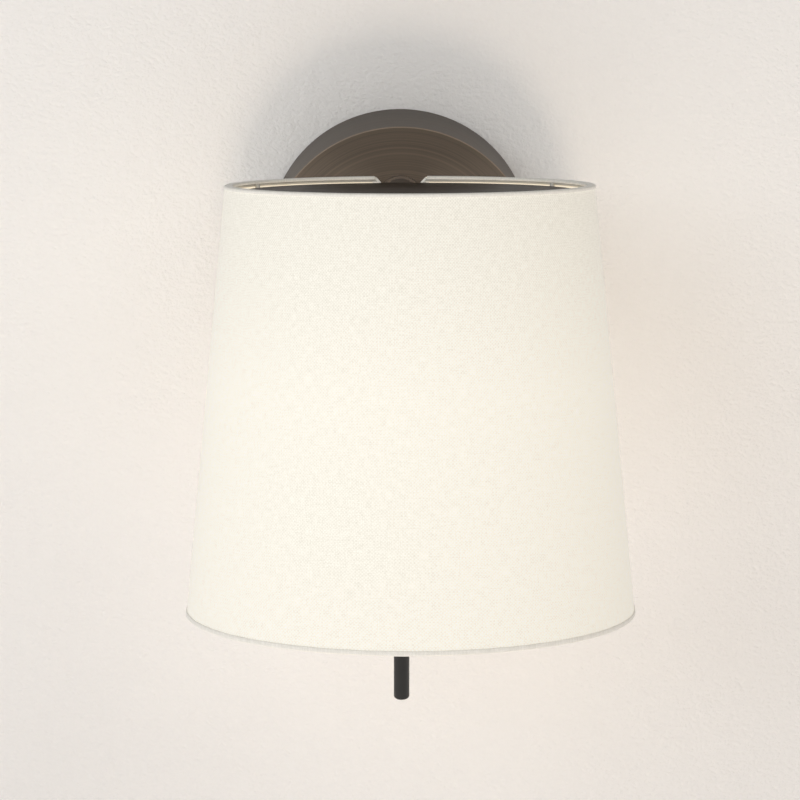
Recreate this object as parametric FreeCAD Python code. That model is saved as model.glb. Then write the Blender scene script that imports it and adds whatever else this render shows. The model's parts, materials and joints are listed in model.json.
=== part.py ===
"""Wall light with a tilting fabric shade and a pull rod switch.

The back of the round wall plate lies on the wall, in the plane Y = 0, and its centre is the origin.
X runs to the right, Z up, and the light stands out from the wall along -Y. Lengths are millimetres.
The head, from the knuckle's tongue to the shade, is drawn upright about the tilt pivot, with Z along
the shade's axis and +Y towards the wall, and is then leaned and moved to the end of the arm.
"""
import FreeCAD
import Part

import math
import os

# ---------------------------------------------------------------- clearances
RUNNING_FIT = 0.05       # radial play of a turning or sliding fit
FACE_GAP = 0.3           # between faces of pieces that move past each other
WIRE_GAP = 0.05          # between a wire ring and the sheet that it carries

# ---------------------------------------------------------------- wall plate
CANOPY_RADIUS = 67.5
CANOPY_DEPTH = 38.5
CANOPY_WALL = 1.5
CANOPY_EDGE = 0.6        # small round on the front edge

BRACKET_WIDTH = 24.0
BRACKET_SHEET = 2.0
BRACKET_EAR = 20.0       # how far the bent ears reach out from the wall
BRACKET_EAR_GAP = 1.5    # between an ear and the plate's inner wall
BRACKET_SLOT_SPACING = 80.0
BRACKET_SLOT_RADIUS = 2.3
BRACKET_SLOT_LENGTH = 12.0
CABLE_HOLE_RADIUS = 9.0
SIDE_SCREW_OUT = 12.0    # the side screws' distance from the wall
SIDE_SCREW_RADIUS = 2.0
SIDE_SCREW_HEAD = 3.6
SIDE_SCREW_HEAD_HEIGHT = 2.2
EARTH_SCREW_X = 24.0
EARTH_SCREW_RADIUS = 2.0

TERMINAL_X = -24.0
TERMINAL_WIDTH = 24.0
TERMINAL_HEIGHT = 15.0
TERMINAL_DEPTH = 14.0
TERMINAL_POLES = 3
TERMINAL_BORE = 1.6
TERMINAL_SCREW_RADIUS = 1.5

# ---------------------------------------------------------------- arm
ARM_HEIGHT = 31.5        # the arm's axis above the middle of the wall plate
ARM_RADIUS = 6.0
ARM_WALL = 1.2
NIPPLE_RADIUS = 5.0
NIPPLE_BORE = 3.2
NIPPLE_INSIDE = 13.0     # thread that stands inside the wall plate
NUT_WIDTH = 14.0
NUT_THICKNESS = 4.0
WASHER_RADIUS = 10.0
WASHER_THICKNESS = 1.0
COLLAR_RADIUS = 10.8
COLLAR_THICKNESS = 1.2
SOCKET_RADIUS = 9.5
SOCKET_LENGTH = 12.0     # from the wall plate's face, collar included
SOCKET_THREAD = 5.0      # length of nipple inside the socket
GRUB_RADIUS = 1.5

# ---------------------------------------------------------------- tilt knuckle
REST_LEAN = 12.0         # degrees that the shade's top leans to the wall at rest
LEAN_MIN = 4.0
KNUCKLE_RADIUS = 9.5
KNUCKLE_WIDTH = 19.0
TONGUE_THICKNESS = 6.0
TONGUE_RADIUS = 8.6
KNUCKLE_SIDE_GAP = 0.2
NECK_RADIUS = 7.5
NECK_LENGTH = 17.0       # from the pivot to the neck's end on the arm
ARM_IN_NECK = 6.0
PIVOT_RADIUS = 2.5
PIVOT_HEAD_RADIUS = 5.0
PIVOT_HEAD_HEIGHT = 2.6
SPRING_WASHER_RADIUS = 5.6
SPRING_WASHER_THICKNESS = 0.8
PIVOT_NUT_WIDTH = 8.0
PIVOT_NUT_HEIGHT = 4.0

# ---------------------------------------------------------------- lampholder and bulb
TONGUE_DROP = 16.0       # from the pivot to the top of the holder's cap
TONGUE_FOOT_RADIUS = 10.0
TONGUE_FOOT_THICKNESS = 4.0
HOLDER_NIPPLE_BELOW = 6.0
HOLDER_RADIUS = 19.5
HOLDER_CAP_HEIGHT = 18.0
HOLDER_CAP_WALL = 2.0
HOLDER_SKIRT_HEIGHT = 34.0
HOLDER_SKIRT_WALL = 2.6
HOLDER_FLANGE_RADIUS = 27.0
HOLDER_FLANGE_THICKNESS = 2.0
INSERT_THICKNESS = 9.0
THREAD_SHELL_WALL = 0.4
BULB_CAP_RADIUS = 13.1
BULB_CAP_LENGTH = 25.0
BULB_CAP_GAP = 0.1
BULB_RADIUS = 30.0
BULB_LENGTH = 104.0      # contact to tip
BULB_NECK_RADIUS = 12.6
BULB_GLASS = 1.0
RING_NUT_RADIUS = 29.0
RING_NUT_HEIGHT = 8.0
RING_NUT_GRIPS = 24

# ---------------------------------------------------------------- shade
SHADE_TOP_RADIUS = 87.5
SHADE_BOTTOM_RADIUS = 107.5
SHADE_HEIGHT = 205.0
SHADE_ABOVE_PIVOT = 31.0
SHADE_PLATE_GAP = 5.967  # between the wall plate and the back of the leaned rim
FABRIC_THICKNESS = 0.6
LINING_THICKNESS = 0.5
SHADE_SHIFT = 3.3        # how far the shade sits to one side in the play of its ring
TOP_WIRE = 2.4           # wire diameters
BOTTOM_WIRE = 2.4
NOTCH_WIDTH = 20.5
NOTCH_FLARE = 3.3        # the notch opens by this much at each side of the rim, at 45 degrees
NOTCH_MARGIN = 1.5       # free height under the socket at the least lean
NOTCH_WIRE = 1.6
NOTCH_WIRE_INSET = 1.8   # from the notch's edge to the middle of its wire
HEM_THICKNESS = 0.4
TOP_HEM_OUTSIDE = 1.6
TOP_HEM_INSIDE = 2.6
BOTTOM_HEM_OUTSIDE = 2.4
BOTTOM_HEM_INSIDE = 3.0
SPIDER_RING_OUTER = 35.0
SPIDER_RING_HOLE = 23.0
SPIDER_RING_THICKNESS = 1.5
SPIDER_WIRE = 2.4
SPIDER_ARMS = 3
SPIDER_BEND = 7.0
SPIDER_WELD = 2.0        # length of an arm that lies on its ring

# ---------------------------------------------------------------- closing disc
DISC_EDGE_GAP = 7.5      # between the disc and the shade's outside at the rim
DISC_RECESS = 3.0        # below the shade's rim
DISC_THICKNESS = 1.2
DISC_POST_RADIUS = 3.0
DISC_POST_DISTANCE = 58.0
DISC_SCREW_RADIUS = 1.5

# ---------------------------------------------------------------- pull switch
SWITCH_OUT = 90.0        # the rod's distance from the wall
SADDLE_RADIUS = 11.0
SADDLE_ABOVE_ARM = 3.0
SADDLE_BELOW_ARM = 6.0
SWITCH_HEIGHT = 31.0
SWITCH_WALL = 2.2
SWITCH_TRAVEL = 5.0
ROD_RADIUS = 4.0
ROD_END = 222.0          # the rod's tip below the middle of the wall plate
ROD_TIP_ROUND = 1.4
PLUNGER_RADIUS = 7.8
PLUNGER_THICKNESS = 2.0
CONTACT_THICKNESS = 4.5
CONTACT_PIN_RADIUS = 1.0
BUSH_RADIUS = 6.2
BUSH_FLANGE_RADIUS = 8.6
BUSH_FLANGE_THICKNESS = 2.0
SPRING_WIRE = 0.9
SPRING_TURNS = 5
SPRING_PLAY = 0.7        # between the spring and the rod, and at its two ends

# ---------------------------------------------------------------- places worked out from the sizes
X_AXIS = FreeCAD.Vector(1, 0, 0)
Y_AXIS = FreeCAD.Vector(0, 1, 0)
Z_AXIS = FreeCAD.Vector(0, 0, 1)

RIM_Z = SHADE_ABOVE_PIVOT
LEANED_RIM = (SHADE_TOP_RADIUS * math.cos(math.radians(REST_LEAN))
              + RIM_Z * math.sin(math.radians(REST_LEAN)))
ARM_REACH = CANOPY_DEPTH + SHADE_PLATE_GAP + LEANED_RIM
PIVOT = FreeCAD.Vector(0, -ARM_REACH, ARM_HEIGHT)
HEM_Z = SHADE_ABOVE_PIVOT - SHADE_HEIGHT
SHADE_TURN = math.degrees(math.asin(SHADE_SHIFT / SHADE_TOP_RADIUS))
NOTCH_DEPTH = (SHADE_ABOVE_PIVOT + SOCKET_RADIUS + NOTCH_MARGIN
               - (ARM_REACH - CANOPY_DEPTH - SOCKET_LENGTH) * math.sin(math.radians(LEAN_MIN)))

CAP_TOP_Z = -TONGUE_DROP
SKIRT_TOP_Z = CAP_TOP_Z - HOLDER_CAP_HEIGHT
SKIRT_END_Z = SKIRT_TOP_Z - HOLDER_SKIRT_HEIGHT
SPIDER_TOP_Z = SKIRT_TOP_Z - HOLDER_FLANGE_THICKNESS
SPIDER_WIRE_Z = SPIDER_TOP_Z - SPIDER_RING_THICKNESS / 2
RING_NUT_TOP_Z = SPIDER_TOP_Z - SPIDER_RING_THICKNESS
INSERT_END_Z = SKIRT_TOP_Z - INSERT_THICKNESS
DISC_TOP_Z = RIM_Z - DISC_RECESS
DISC_RADIUS = SHADE_TOP_RADIUS - DISC_EDGE_GAP
SHELL_THICKNESS = FABRIC_THICKNESS + LINING_THICKNESS
TOP_WIRE_Z = RIM_Z - HEM_THICKNESS - WIRE_GAP - TOP_WIRE / 2

SADDLE_END_Z = ARM_HEIGHT - ARM_RADIUS - SADDLE_BELOW_ARM
SWITCH_END_Z = SADDLE_END_Z - SWITCH_HEIGHT
SWITCH_AXIS = FreeCAD.Vector(0, -SWITCH_OUT, 0)


# ---------------------------------------------------------------- helpers
def vec(x, y, z):
    return FreeCAD.Vector(x, y, z)


def bar(radius, start, end):
    """Round bar between two points."""
    run = end - start
    return Part.makeCylinder(radius, run.Length, start, run)


def tube(radius, bore, start, end):
    """Bar with a round bore right through."""
    return bar(radius, start, end).cut(bar(bore, start, end))


def turned(points, centre=FreeCAD.Vector(0, 0, 0)):
    """Solid turned about the Z direction through centre from (radius, z) points."""
    corners = [centre + vec(r, 0, z) for r, z in points]
    face = Part.Face(Part.makePolygon(corners + corners[:1]))
    return face.revolve(centre, Z_AXIS, 360)


def hexagon(width, height, start, direction):
    """Hexagonal prism, width across flats, standing on start along direction."""
    radius = width / math.sqrt(3)
    corners = [vec(radius * math.cos(math.radians(60 * i)), radius * math.sin(math.radians(60 * i)), 0)
               for i in range(6)]
    prism = Part.Face(Part.makePolygon(corners + corners[:1])).extrude(vec(0, 0, height))
    prism.Placement = FreeCAD.Placement(start, FreeCAD.Rotation(Z_AXIS, direction))
    return prism


def slot_prism(length, radius, centre, depth):
    """Rounded slot along X, cut along Y by depth to each side of centre."""
    half = length / 2 - radius
    box = Part.makeBox(2 * half, 2 * depth, 2 * radius, centre + vec(-half, -depth, -radius))
    ends = [bar(radius, centre + vec(x, -depth, 0), centre + vec(x, depth, 0)) for x in (-half, half)]
    return box.multiFuse(ends).removeSplitter()


def bent_wire(points, bend, radius):
    """Round wire along straight runs through points, with each corner bent to the bend radius."""
    edges = []
    at = points[0]
    for before, corner, after in zip(points, points[1:], points[2:]):
        back = (before - corner).normalize()
        on = (after - corner).normalize()
        half_angle = back.getAngle(on) / 2
        reach = bend / math.tan(half_angle)
        middle = (back + on).normalize()
        crown = corner + middle * (bend / math.sin(half_angle) - bend)
        edges.append(Part.makeLine(at, corner + back * reach))
        edges.append(Part.Arc(corner + back * reach, crown, corner + on * reach).toShape())
        at = corner + on * reach
    edges.append(Part.makeLine(at, points[-1]))
    section = Part.Wire(Part.makeCircle(radius, points[0], points[1] - points[0]))
    return Part.Wire(edges).makePipeShell([section], True, False)


def lean(shape):
    """Move a piece of the head from its upright drawing to its place on the leaned head."""
    moved = shape.copy()
    moved.rotate(vec(0, 0, 0), X_AXIS, -REST_LEAN)
    moved.translate(PIVOT)
    return moved


def save(name, *solids):
    """Write one node; several solids of a group share it."""
    shape = solids[0] if len(solids) == 1 else Part.makeCompound(list(solids))
    shape.exportStep("parts/" + name + ".step")
    NODES[name] = shape


NODES = {}


# ---------------------------------------------------------------- wall plate
def make_canopy():
    """Turned cup, open to the wall, with the nipple's hole and two holes for the side screws."""
    cup = bar(CANOPY_RADIUS, vec(0, 0, 0), vec(0, -CANOPY_DEPTH, 0))
    front = [edge for edge in cup.Edges
             if abs(edge.BoundBox.YMin + CANOPY_DEPTH) < FACE_GAP and abs(edge.BoundBox.YLength) < FACE_GAP]
    cup = cup.makeFillet(CANOPY_EDGE, front)
    hollow = bar(CANOPY_RADIUS - CANOPY_WALL, vec(0, 0, 0), vec(0, CANOPY_WALL - CANOPY_DEPTH, 0))
    cup = cup.cut(hollow)
    cup = cup.cut(bar(NIPPLE_RADIUS, vec(0, 0, ARM_HEIGHT), vec(0, -CANOPY_DEPTH, ARM_HEIGHT)))
    hole = SIDE_SCREW_RADIUS + RUNNING_FIT
    across = bar(hole, vec(-CANOPY_RADIUS, -SIDE_SCREW_OUT, 0), vec(CANOPY_RADIUS, -SIDE_SCREW_OUT, 0))
    save("canopy", cup.cut(across))


def ear_outer_x():
    """The outer face of a bracket ear, set by its corners inside the round plate."""
    inside = CANOPY_RADIUS - CANOPY_WALL - BRACKET_EAR_GAP
    return math.sqrt(inside ** 2 - (BRACKET_WIDTH / 2) ** 2)


def make_bracket():
    """Sheet strap with two bent ears, slots for the wall screws and a hole for the cable."""
    half = ear_outer_x()
    corner = vec(-half, -BRACKET_SHEET, -BRACKET_WIDTH / 2)
    strap = Part.makeBox(2 * half, BRACKET_SHEET, BRACKET_WIDTH, corner)
    ears = [Part.makeBox(BRACKET_SHEET, BRACKET_EAR, BRACKET_WIDTH, vec(x, -BRACKET_EAR, -BRACKET_WIDTH / 2))
            for x in (-half, half - BRACKET_SHEET)]
    bracket = strap.multiFuse(ears).removeSplitter()
    bracket = bracket.cut(bar(CABLE_HOLE_RADIUS, vec(0, 0, 0), vec(0, -BRACKET_SHEET, 0)))
    for x in (-BRACKET_SLOT_SPACING / 2, BRACKET_SLOT_SPACING / 2):
        slot = slot_prism(BRACKET_SLOT_LENGTH, BRACKET_SLOT_RADIUS, vec(x, 0, 0), BRACKET_SHEET)
        bracket = bracket.cut(slot)
    ear_holes = bar(SIDE_SCREW_RADIUS, vec(-half, -SIDE_SCREW_OUT, 0), vec(half, -SIDE_SCREW_OUT, 0))
    earth_back = vec(EARTH_SCREW_X, 0, 0)
    earth_hole = bar(EARTH_SCREW_RADIUS, earth_back, earth_back - Y_AXIS * BRACKET_SHEET)
    save("wall_bracket", bracket.cut(ear_holes).cut(earth_hole))


def make_bracket_screws():
    """Side screws that hold the plate on the ears, and the earth screw with its washer."""
    inner = ear_outer_x() - BRACKET_SHEET
    screws = []
    for side in (-1, 1):
        seat = vec(side * CANOPY_RADIUS, -SIDE_SCREW_OUT, 0)
        head_end = seat + vec(side * SIDE_SCREW_HEAD_HEIGHT, 0, 0)
        shank = bar(SIDE_SCREW_RADIUS, vec(side * inner, -SIDE_SCREW_OUT, 0), seat)
        screws.append(shank.fuse(bar(SIDE_SCREW_HEAD, seat, head_end)))
    save("side_screws", *screws)

    face = vec(EARTH_SCREW_X, -BRACKET_SHEET, 0)
    shank = bar(EARTH_SCREW_RADIUS, face + vec(0, BRACKET_SHEET, 0), face - Y_AXIS * WASHER_THICKNESS)
    head_start = face - Y_AXIS * WASHER_THICKNESS
    head = bar(SIDE_SCREW_HEAD, head_start, head_start - Y_AXIS * SIDE_SCREW_HEAD_HEIGHT)
    save("earth_screw", shank.fuse(head))
    save("earth_washer", tube(SIDE_SCREW_HEAD + FACE_GAP, EARTH_SCREW_RADIUS, face, head_start))


def make_terminal():
    """Three pole terminal block on the strap, with one screw above each pole."""
    back = -BRACKET_SHEET
    corner = vec(TERMINAL_X - TERMINAL_WIDTH / 2, back - TERMINAL_DEPTH, -TERMINAL_HEIGHT / 2)
    block = Part.makeBox(TERMINAL_WIDTH, TERMINAL_DEPTH, TERMINAL_HEIGHT, corner)
    pitch = TERMINAL_WIDTH / TERMINAL_POLES
    well_depth = TERMINAL_DEPTH / 2 - TERMINAL_BORE
    rise = Z_AXIS * (TERMINAL_HEIGHT / 2)
    screws = []
    for i in range(TERMINAL_POLES):
        x = TERMINAL_X + (i - (TERMINAL_POLES - 1) / 2) * pitch
        middle = vec(x, back - TERMINAL_DEPTH / 2, 0)
        front = vec(x, back - TERMINAL_DEPTH, 0)
        well_end = front + Y_AXIS * well_depth
        block = block.cut(bar(TERMINAL_BORE, middle - rise, middle + rise))
        block = block.cut(bar(TERMINAL_SCREW_RADIUS, front, well_end))
        screws.append(bar(TERMINAL_SCREW_RADIUS, front + Y_AXIS * TERMINAL_BORE, well_end))
    save("terminal_block", block)
    save("terminal_screws", *screws)


# ---------------------------------------------------------------- arm and knuckle
def arm_point(out):
    """Point on the arm's axis at a distance from the wall."""
    return vec(0, -out, ARM_HEIGHT)


def make_arm():
    """Socket on the plate's face, held by a hollow nipple with washer and nut, and the arm tube in it."""
    face = CANOPY_DEPTH
    inner = CANOPY_DEPTH - CANOPY_WALL
    nipple_start = inner - NIPPLE_INSIDE
    nipple_end = face + COLLAR_THICKNESS + SOCKET_THREAD
    save("arm_nipple", tube(NIPPLE_RADIUS, NIPPLE_BORE, arm_point(nipple_start), arm_point(nipple_end)))
    washer_end = inner - WASHER_THICKNESS
    save("nipple_washer", tube(WASHER_RADIUS, NIPPLE_RADIUS, arm_point(washer_end), arm_point(inner)))
    nut = hexagon(NUT_WIDTH, NUT_THICKNESS, arm_point(washer_end), Y_AXIS)
    save("nipple_nut", nut.cut(bar(NIPPLE_RADIUS, arm_point(nipple_start), arm_point(washer_end))))
    collar_end = face + COLLAR_THICKNESS
    save("arm_collar", tube(COLLAR_RADIUS, NIPPLE_RADIUS, arm_point(face), arm_point(collar_end)))

    socket_end = face + SOCKET_LENGTH
    socket = bar(SOCKET_RADIUS, arm_point(collar_end), arm_point(socket_end))
    socket = socket.cut(bar(NIPPLE_RADIUS, arm_point(collar_end), arm_point(nipple_end)))
    socket = socket.cut(bar(ARM_RADIUS, arm_point(nipple_end), arm_point(socket_end)))
    grub_seat = arm_point((nipple_end + socket_end) / 2)
    grub_top = grub_seat - Z_AXIS * ARM_RADIUS
    grub_end = grub_seat - Z_AXIS * (SOCKET_RADIUS - FACE_GAP)
    grub_bore = bar(GRUB_RADIUS, grub_seat, grub_seat - Z_AXIS * SOCKET_RADIUS)
    arm = tube(ARM_RADIUS, ARM_RADIUS - ARM_WALL, arm_point(nipple_end), arm_point(neck_out() + ARM_IN_NECK))
    save("arm_socket", socket.cut(grub_bore))
    save("socket_grub_screw", bar(GRUB_RADIUS, grub_top, grub_end).cut(arm))
    save("arm_tube", arm)


def neck_out():
    """Distance from the wall to the end of the knuckle's neck, where the arm goes in."""
    return ARM_REACH - NECK_LENGTH


def make_fork():
    """Fork at the arm's end: two round cheeks on a neck that holds the tube."""
    slot = TONGUE_THICKNESS + 2 * KNUCKLE_SIDE_GAP
    cheeks = bar(KNUCKLE_RADIUS, PIVOT - X_AXIS * (KNUCKLE_WIDTH / 2), PIVOT + X_AXIS * (KNUCKLE_WIDTH / 2))
    neck = bar(NECK_RADIUS, arm_point(neck_out()), PIVOT)
    fork = cheeks.fuse(neck)
    throat = TONGUE_RADIUS + FACE_GAP
    gap = Part.makeBox(slot, 2 * KNUCKLE_RADIUS, 4 * KNUCKLE_RADIUS,
                       PIVOT + vec(-slot / 2, throat - 2 * KNUCKLE_RADIUS, -2 * KNUCKLE_RADIUS))
    fork = fork.cut(gap)
    fork = fork.cut(bar(ARM_RADIUS, arm_point(neck_out()), arm_point(neck_out() + ARM_IN_NECK)))
    hole = PIVOT_RADIUS + RUNNING_FIT
    fork = fork.cut(bar(hole, PIVOT - X_AXIS * KNUCKLE_WIDTH, PIVOT + X_AXIS * KNUCKLE_WIDTH))
    save("knuckle_fork", fork.removeSplitter())


def make_tilt_screw():
    """Shouldered screw through the knuckle, with a spring washer and a nut that set the friction."""
    side = KNUCKLE_WIDTH / 2
    washer_out = side + SPRING_WASHER_THICKNESS
    head_out = washer_out + PIVOT_HEAD_HEIGHT
    nut_out = washer_out + PIVOT_NUT_HEIGHT
    shank = bar(PIVOT_RADIUS, PIVOT - X_AXIS * washer_out, PIVOT + X_AXIS * nut_out)
    head = bar(PIVOT_HEAD_RADIUS, PIVOT - X_AXIS * head_out, PIVOT - X_AXIS * washer_out)
    save("tilt_screw", shank.fuse(head))
    washers = []
    for outward in (X_AXIS, X_AXIS * -1):
        near = PIVOT + outward * side
        washers.append(tube(SPRING_WASHER_RADIUS, PIVOT_RADIUS, near, PIVOT + outward * washer_out))
    save("tilt_washers", *washers)
    nut = hexagon(PIVOT_NUT_WIDTH, PIVOT_NUT_HEIGHT, PIVOT + X_AXIS * washer_out, X_AXIS)
    save("tilt_nut", nut.cut(bar(PIVOT_RADIUS, PIVOT + X_AXIS * washer_out, PIVOT + X_AXIS * nut_out)))


def make_tongue():
    """Tongue between the fork's cheeks, with a round foot for the holder's nipple."""
    half = TONGUE_THICKNESS / 2
    eye = bar(TONGUE_RADIUS, vec(-half, 0, 0), vec(half, 0, 0))
    foot_top = CAP_TOP_Z + TONGUE_FOOT_THICKNESS
    web = Part.makeBox(TONGUE_THICKNESS, 2 * TONGUE_RADIUS, -foot_top, vec(-half, -TONGUE_RADIUS, foot_top))
    foot = bar(TONGUE_FOOT_RADIUS, vec(0, 0, CAP_TOP_Z), vec(0, 0, foot_top))
    tongue = eye.multiFuse([web, foot]).removeSplitter()
    tongue = tongue.cut(bar(PIVOT_RADIUS + RUNNING_FIT, vec(-half, 0, 0), vec(half, 0, 0)))
    tongue = tongue.cut(bar(NIPPLE_RADIUS, vec(0, 0, CAP_TOP_Z), vec(0, 0, foot_top)))
    save("knuckle_tongue", lean(tongue))


# ---------------------------------------------------------------- lampholder and bulb
def make_holder():
    """Lampholder: nipple, domed cap, skirt with the shade's flange, contact insert and thread shell."""
    foot_top = CAP_TOP_Z + TONGUE_FOOT_THICKNESS
    nipple = tube(NIPPLE_RADIUS, NIPPLE_BORE, vec(0, 0, CAP_TOP_Z - HOLDER_NIPPLE_BELOW), vec(0, 0, foot_top))
    save("holder_nipple", lean(nipple))

    shoulder = CAP_TOP_Z - HOLDER_CAP_HEIGHT / 2
    inner = HOLDER_RADIUS - HOLDER_CAP_WALL
    cap = turned([(NIPPLE_RADIUS, CAP_TOP_Z), (TONGUE_FOOT_RADIUS, CAP_TOP_Z), (HOLDER_RADIUS, shoulder),
                  (HOLDER_RADIUS, SKIRT_TOP_Z), (inner, SKIRT_TOP_Z), (inner, shoulder - HOLDER_CAP_WALL / 2),
                  (TONGUE_FOOT_RADIUS - HOLDER_CAP_WALL / 2, CAP_TOP_Z - HOLDER_CAP_WALL),
                  (NIPPLE_RADIUS, CAP_TOP_Z - HOLDER_CAP_WALL)])
    save("holder_cap", lean(cap))

    bore = HOLDER_RADIUS - HOLDER_SKIRT_WALL
    skirt = turned([(bore, SKIRT_TOP_Z), (HOLDER_FLANGE_RADIUS, SKIRT_TOP_Z),
                    (HOLDER_FLANGE_RADIUS, SPIDER_TOP_Z), (HOLDER_RADIUS, SPIDER_TOP_Z),
                    (HOLDER_RADIUS, SKIRT_END_Z), (bore, SKIRT_END_Z)])
    save("holder_skirt", lean(skirt))
    pin = CONTACT_PIN_RADIUS * 2
    insert = tube(bore, pin, vec(0, 0, INSERT_END_Z), vec(0, 0, SKIRT_TOP_Z))
    save("contact_insert", lean(insert))
    contact = bar(pin, vec(0, 0, contact_z()), vec(0, 0, SKIRT_TOP_Z))
    save("centre_contact", lean(contact))
    outer = BULB_CAP_RADIUS + BULB_CAP_GAP + THREAD_SHELL_WALL
    carrier = tube(bore, outer, vec(0, 0, SKIRT_END_Z), vec(0, 0, INSERT_END_Z))
    save("thread_carrier", lean(carrier))
    shell = tube(outer, BULB_CAP_RADIUS + BULB_CAP_GAP, vec(0, 0, SKIRT_END_Z), vec(0, 0, INSERT_END_Z))
    save("thread_shell", lean(shell))


def contact_z():
    """Height of the lower end of the centre contact, where the bulb's cap seats."""
    return INSERT_END_Z - FACE_GAP


def make_bulb():
    """Bulb with a screw cap and a round opal globe that flows into its neck."""
    cap_top = contact_z()
    cap_end = cap_top - BULB_CAP_LENGTH
    tip = cap_top - BULB_LENGTH
    save("bulb_cap", lean(bar(BULB_CAP_RADIUS, vec(0, 0, cap_end), vec(0, 0, cap_top))))
    outer = globe(BULB_NECK_RADIUS, BULB_RADIUS, cap_end, tip)
    inner = globe(BULB_NECK_RADIUS - BULB_GLASS, BULB_RADIUS - BULB_GLASS, cap_end, tip + BULB_GLASS)
    save("bulb_globe", lean(outer.cut(inner)))


def globe(neck, radius, top, tip):
    """Ball with a cone that leaves it at a tangent and ends at the neck's radius."""
    middle = tip + radius
    reach = math.hypot(neck, top - middle)
    angle = math.atan2(neck, top - middle) + math.acos(radius / reach)
    touch = vec(radius * math.sin(angle), 0, middle + radius * math.cos(angle))
    bulge = (angle + math.pi) / 2
    between = vec(radius * math.sin(bulge), 0, middle + radius * math.cos(bulge))
    outline = [Part.makeLine(vec(0, 0, top), vec(neck, 0, top)),
               Part.makeLine(vec(neck, 0, top), touch),
               Part.Arc(touch, between, vec(0, 0, tip)).toShape(),
               Part.makeLine(vec(0, 0, tip), vec(0, 0, top))]
    return Part.Face(Part.Wire(outline)).revolve(vec(0, 0, 0), Z_AXIS, 360)


def make_ring_nut():
    """Shade ring nut with finger grips round its edge."""
    end = RING_NUT_TOP_Z - RING_NUT_HEIGHT
    nut = tube(RING_NUT_RADIUS, HOLDER_RADIUS, vec(0, 0, end), vec(0, 0, RING_NUT_TOP_Z))
    pitch = 2 * math.pi * RING_NUT_RADIUS / RING_NUT_GRIPS
    grips = []
    for i in range(RING_NUT_GRIPS):
        turn = 2 * math.pi * i / RING_NUT_GRIPS
        x = (RING_NUT_RADIUS + pitch / 8) * math.cos(turn)
        y = (RING_NUT_RADIUS + pitch / 8) * math.sin(turn)
        grips.append(bar(pitch / 4, vec(x, y, end), vec(x, y, RING_NUT_TOP_Z)))
    save("shade_ring_nut", lean(nut.cut(Part.makeCompound(grips))))


# ---------------------------------------------------------------- shade
def shade_axis():
    return vec(SHADE_SHIFT, 0, 0)


def cone_radius(z):
    """Outer radius of the shade at a height of the head."""
    return SHADE_TOP_RADIUS + (SHADE_BOTTOM_RADIUS - SHADE_TOP_RADIUS) * (RIM_Z - z) / SHADE_HEIGHT


def cone_shell(outer_inset, thickness, low, high):
    """Ring of sheet that follows the shade's cone, inset from its outer face."""
    outline = [(cone_radius(low) - outer_inset, low), (cone_radius(high) - outer_inset, high),
               (cone_radius(high) - outer_inset - thickness, high),
               (cone_radius(low) - outer_inset - thickness, low)]
    return turned(outline, shade_axis())


def notch_prism(grow=0.0):
    """Cutter for the notch in the back of the rim, flared at the rim, grown outwards by grow."""
    half = NOTCH_WIDTH / 2 + grow
    floor = RIM_Z - NOTCH_DEPTH - grow
    above = RIM_Z + TOP_WIRE
    flare_low = RIM_Z - NOTCH_FLARE - grow
    outline = [(-half, floor), (half, floor), (half, flare_low), (half + NOTCH_FLARE + grow, RIM_Z),
               (half + NOTCH_FLARE + grow, above), (-half - NOTCH_FLARE - grow, above),
               (-half - NOTCH_FLARE - grow, RIM_Z), (-half, flare_low)]
    corners = [vec(x, 0, z) for x, z in outline]
    return Part.Face(Part.makePolygon(corners + corners[:1])).extrude(Y_AXIS * (2 * SHADE_TOP_RADIUS))


def make_shade_skins():
    """Fabric over its stiff lining, both notched at the back."""
    low = HEM_Z + HEM_THICKNESS
    high = RIM_Z - HEM_THICKNESS
    cutter = notch_prism()
    save("shade_fabric", lean(cone_shell(0, FABRIC_THICKNESS, low, high).cut(cutter)))
    save("shade_lining", lean(cone_shell(FABRIC_THICKNESS, LINING_THICKNESS, low, high).cut(cutter)))


def wire_ring_radius(z, wire):
    """Middle radius of a wire ring that lies against the inside of the lining."""
    return cone_radius(z) - SHELL_THICKNESS - WIRE_GAP - wire / 2


def make_rings():
    """Wire rings in the two rims, and the wire that frames the notch."""
    top_radius = wire_ring_radius(TOP_WIRE_Z, TOP_WIRE)
    ring = Part.makeTorus(top_radius, TOP_WIRE / 2, vec(SHADE_SHIFT, 0, TOP_WIRE_Z))
    save("top_ring", lean(ring.cut(notch_prism(HEM_THICKNESS))))
    low_z = HEM_Z + HEM_THICKNESS + WIRE_GAP + BOTTOM_WIRE / 2
    low_radius = wire_ring_radius(low_z, BOTTOM_WIRE)
    save("bottom_ring", lean(Part.makeTorus(low_radius, BOTTOM_WIRE / 2, vec(SHADE_SHIFT, 0, low_z))))

    side = NOTCH_WIDTH / 2 + NOTCH_WIRE_INSET
    leg_top = TOP_WIRE_Z - TOP_WIRE / 2
    leg_end = RIM_Z - NOTCH_DEPTH - NOTCH_WIRE_INSET
    corners = ((-side, leg_top), (-side, leg_end), (side, leg_end), (side, leg_top))
    points = [notch_wire_point(x, z) for x, z in corners]
    save("notch_frame", lean(bent_wire(points, 2 * NOTCH_WIRE, NOTCH_WIRE / 2)))


def notch_wire_point(x, z):
    """Point at the back of the shade, inside the lining, for a wire at a sideways place and a height."""
    radius = wire_ring_radius(z, NOTCH_WIRE)
    across = abs(x) + SHADE_SHIFT
    return vec(x, math.sqrt(radius ** 2 - across ** 2), z)


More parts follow.
